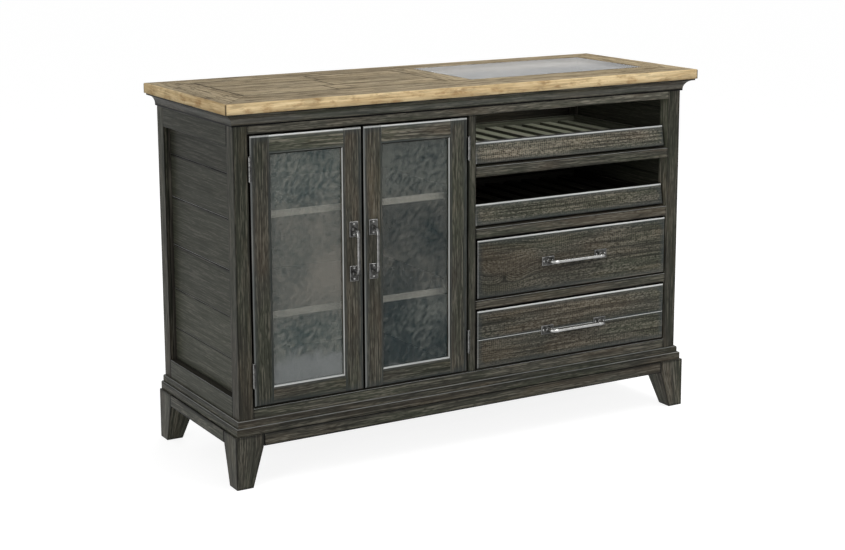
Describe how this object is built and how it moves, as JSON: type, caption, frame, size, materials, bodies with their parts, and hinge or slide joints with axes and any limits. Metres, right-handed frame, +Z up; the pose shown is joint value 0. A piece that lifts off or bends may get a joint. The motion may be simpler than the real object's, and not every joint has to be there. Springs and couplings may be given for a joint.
{
  "type": "wine server cabinet",
  "caption": "Wooden wine server cabinet with glazed doors, slatted bottle trays, drawers with bar pulls and a plank top with a glass window.",
  "frame": {"origin": "on the floor under the middle of the top board, which is the middle of the whole outline", "axes": "+X to the right seen from the front, along the cabinet; +Y from the front to the back; +Z up"},
  "size_m": [1.422, 0.521, 0.965],
  "materials": {
    "case_wood": "charcoal brown stain with grain, saw marks and worn edges, satin",
    "top_wood": "weathered tan planks, matt",
    "inner_wood": "thin charcoal stain, matt",
    "glass": "slightly wavy, polished",
    "pewter": "polished dark pewter plate"
  },
  "bodies": {
    "root": {"back_panel": "inner_wood", "band_back": "case_wood", "band_front": "case_wood", "band_left": "case_wood", "band_right": "case_wood", "base_ledges": "case_wood", "case_floor": "inner_wood", "centre_divider": "inner_wood", "crown_moulding": "case_wood", "door_left_hinge_lower_post_leaf": "pewter", "door_left_hinge_upper_post_leaf": "pewter", "door_right_hinge_lower_post_leaf": "pewter", "door_right_hinge_upper_post_leaf": "pewter", "drawer_frame": "case_wood", "face_bottom_rail": "case_wood", "face_mullion": "case_wood", "face_top_rail": "case_wood", "foot_back_left": "case_wood", "foot_back_right": "case_wood", "foot_front_left": "case_wood", "foot_front_right": "case_wood", "lower_tray_frame": "case_wood", "post_back_left": "case_wood", "post_back_right": "case_wood", "post_front_left": "case_wood", "post_front_right": "case_wood", "shelf_lower": "inner_wood", "shelf_upper": "inner_wood", "side_bottom_rail_left": "case_wood", "side_bottom_rail_right": "case_wood", "side_panel_left": "case_wood", "side_panel_right": "case_wood", "side_top_rail_left": "case_wood", "side_top_rail_right": "case_wood", "top_border": "top_wood", "top_glass": "glass", "top_planks": "top_wood", "upper_tray_frame": "case_wood"},
    "door_left": {"door_left_frame": "case_wood", "door_left_glass": "glass", "door_left_hinge_lower_door_leaf": "pewter", "door_left_hinge_upper_door_leaf": "pewter", "door_left_pull": "pewter"},
    "door_right": {"door_right_frame": "case_wood", "door_right_glass": "glass", "door_right_hinge_lower_door_leaf": "pewter", "door_right_hinge_upper_door_leaf": "pewter", "door_right_pull": "pewter"},
    "tray_upper": {"tray_upper_box": "inner_wood", "tray_upper_face": "case_wood", "tray_upper_slats": "inner_wood"},
    "tray_lower": {"tray_lower_box": "inner_wood", "tray_lower_face": "case_wood", "tray_lower_slats": "inner_wood"},
    "drawer_upper": {"drawer_upper_box": "inner_wood", "drawer_upper_face": "case_wood", "drawer_upper_pull": "pewter"},
    "drawer_lower": {"drawer_lower_box": "inner_wood", "drawer_lower_face": "case_wood", "drawer_lower_pull": "pewter"}
  },
  "joints": [
    {"name": "door_left_hinge", "type": "hinge", "parent": "root", "child": "door_left", "pos_m": [-0.6385, -0.2321, 0.2015], "axis": [0, 0, -1], "range_deg": [0, 105]},
    {"name": "door_right_hinge", "type": "hinge", "parent": "root", "child": "door_right", "pos_m": [-0.015, -0.2321, 0.2015], "axis": [0, 0, -1], "range_deg": [-105, 0]},
    {"name": "tray_upper_slide", "type": "slide", "parent": "root", "child": "tray_upper", "axis": [0, -1, 0], "range_m": [0, 0.3]},
    {"name": "tray_lower_slide", "type": "slide", "parent": "root", "child": "tray_lower", "axis": [0, -1, 0], "range_m": [0, 0.3]},
    {"name": "drawer_upper_slide", "type": "slide", "parent": "root", "child": "drawer_upper", "axis": [0, -1, 0], "range_m": [0, 0.3]},
    {"name": "drawer_lower_slide", "type": "slide", "parent": "root", "child": "drawer_lower", "axis": [0, -1, 0], "range_m": [0, 0.3]}
  ]
}
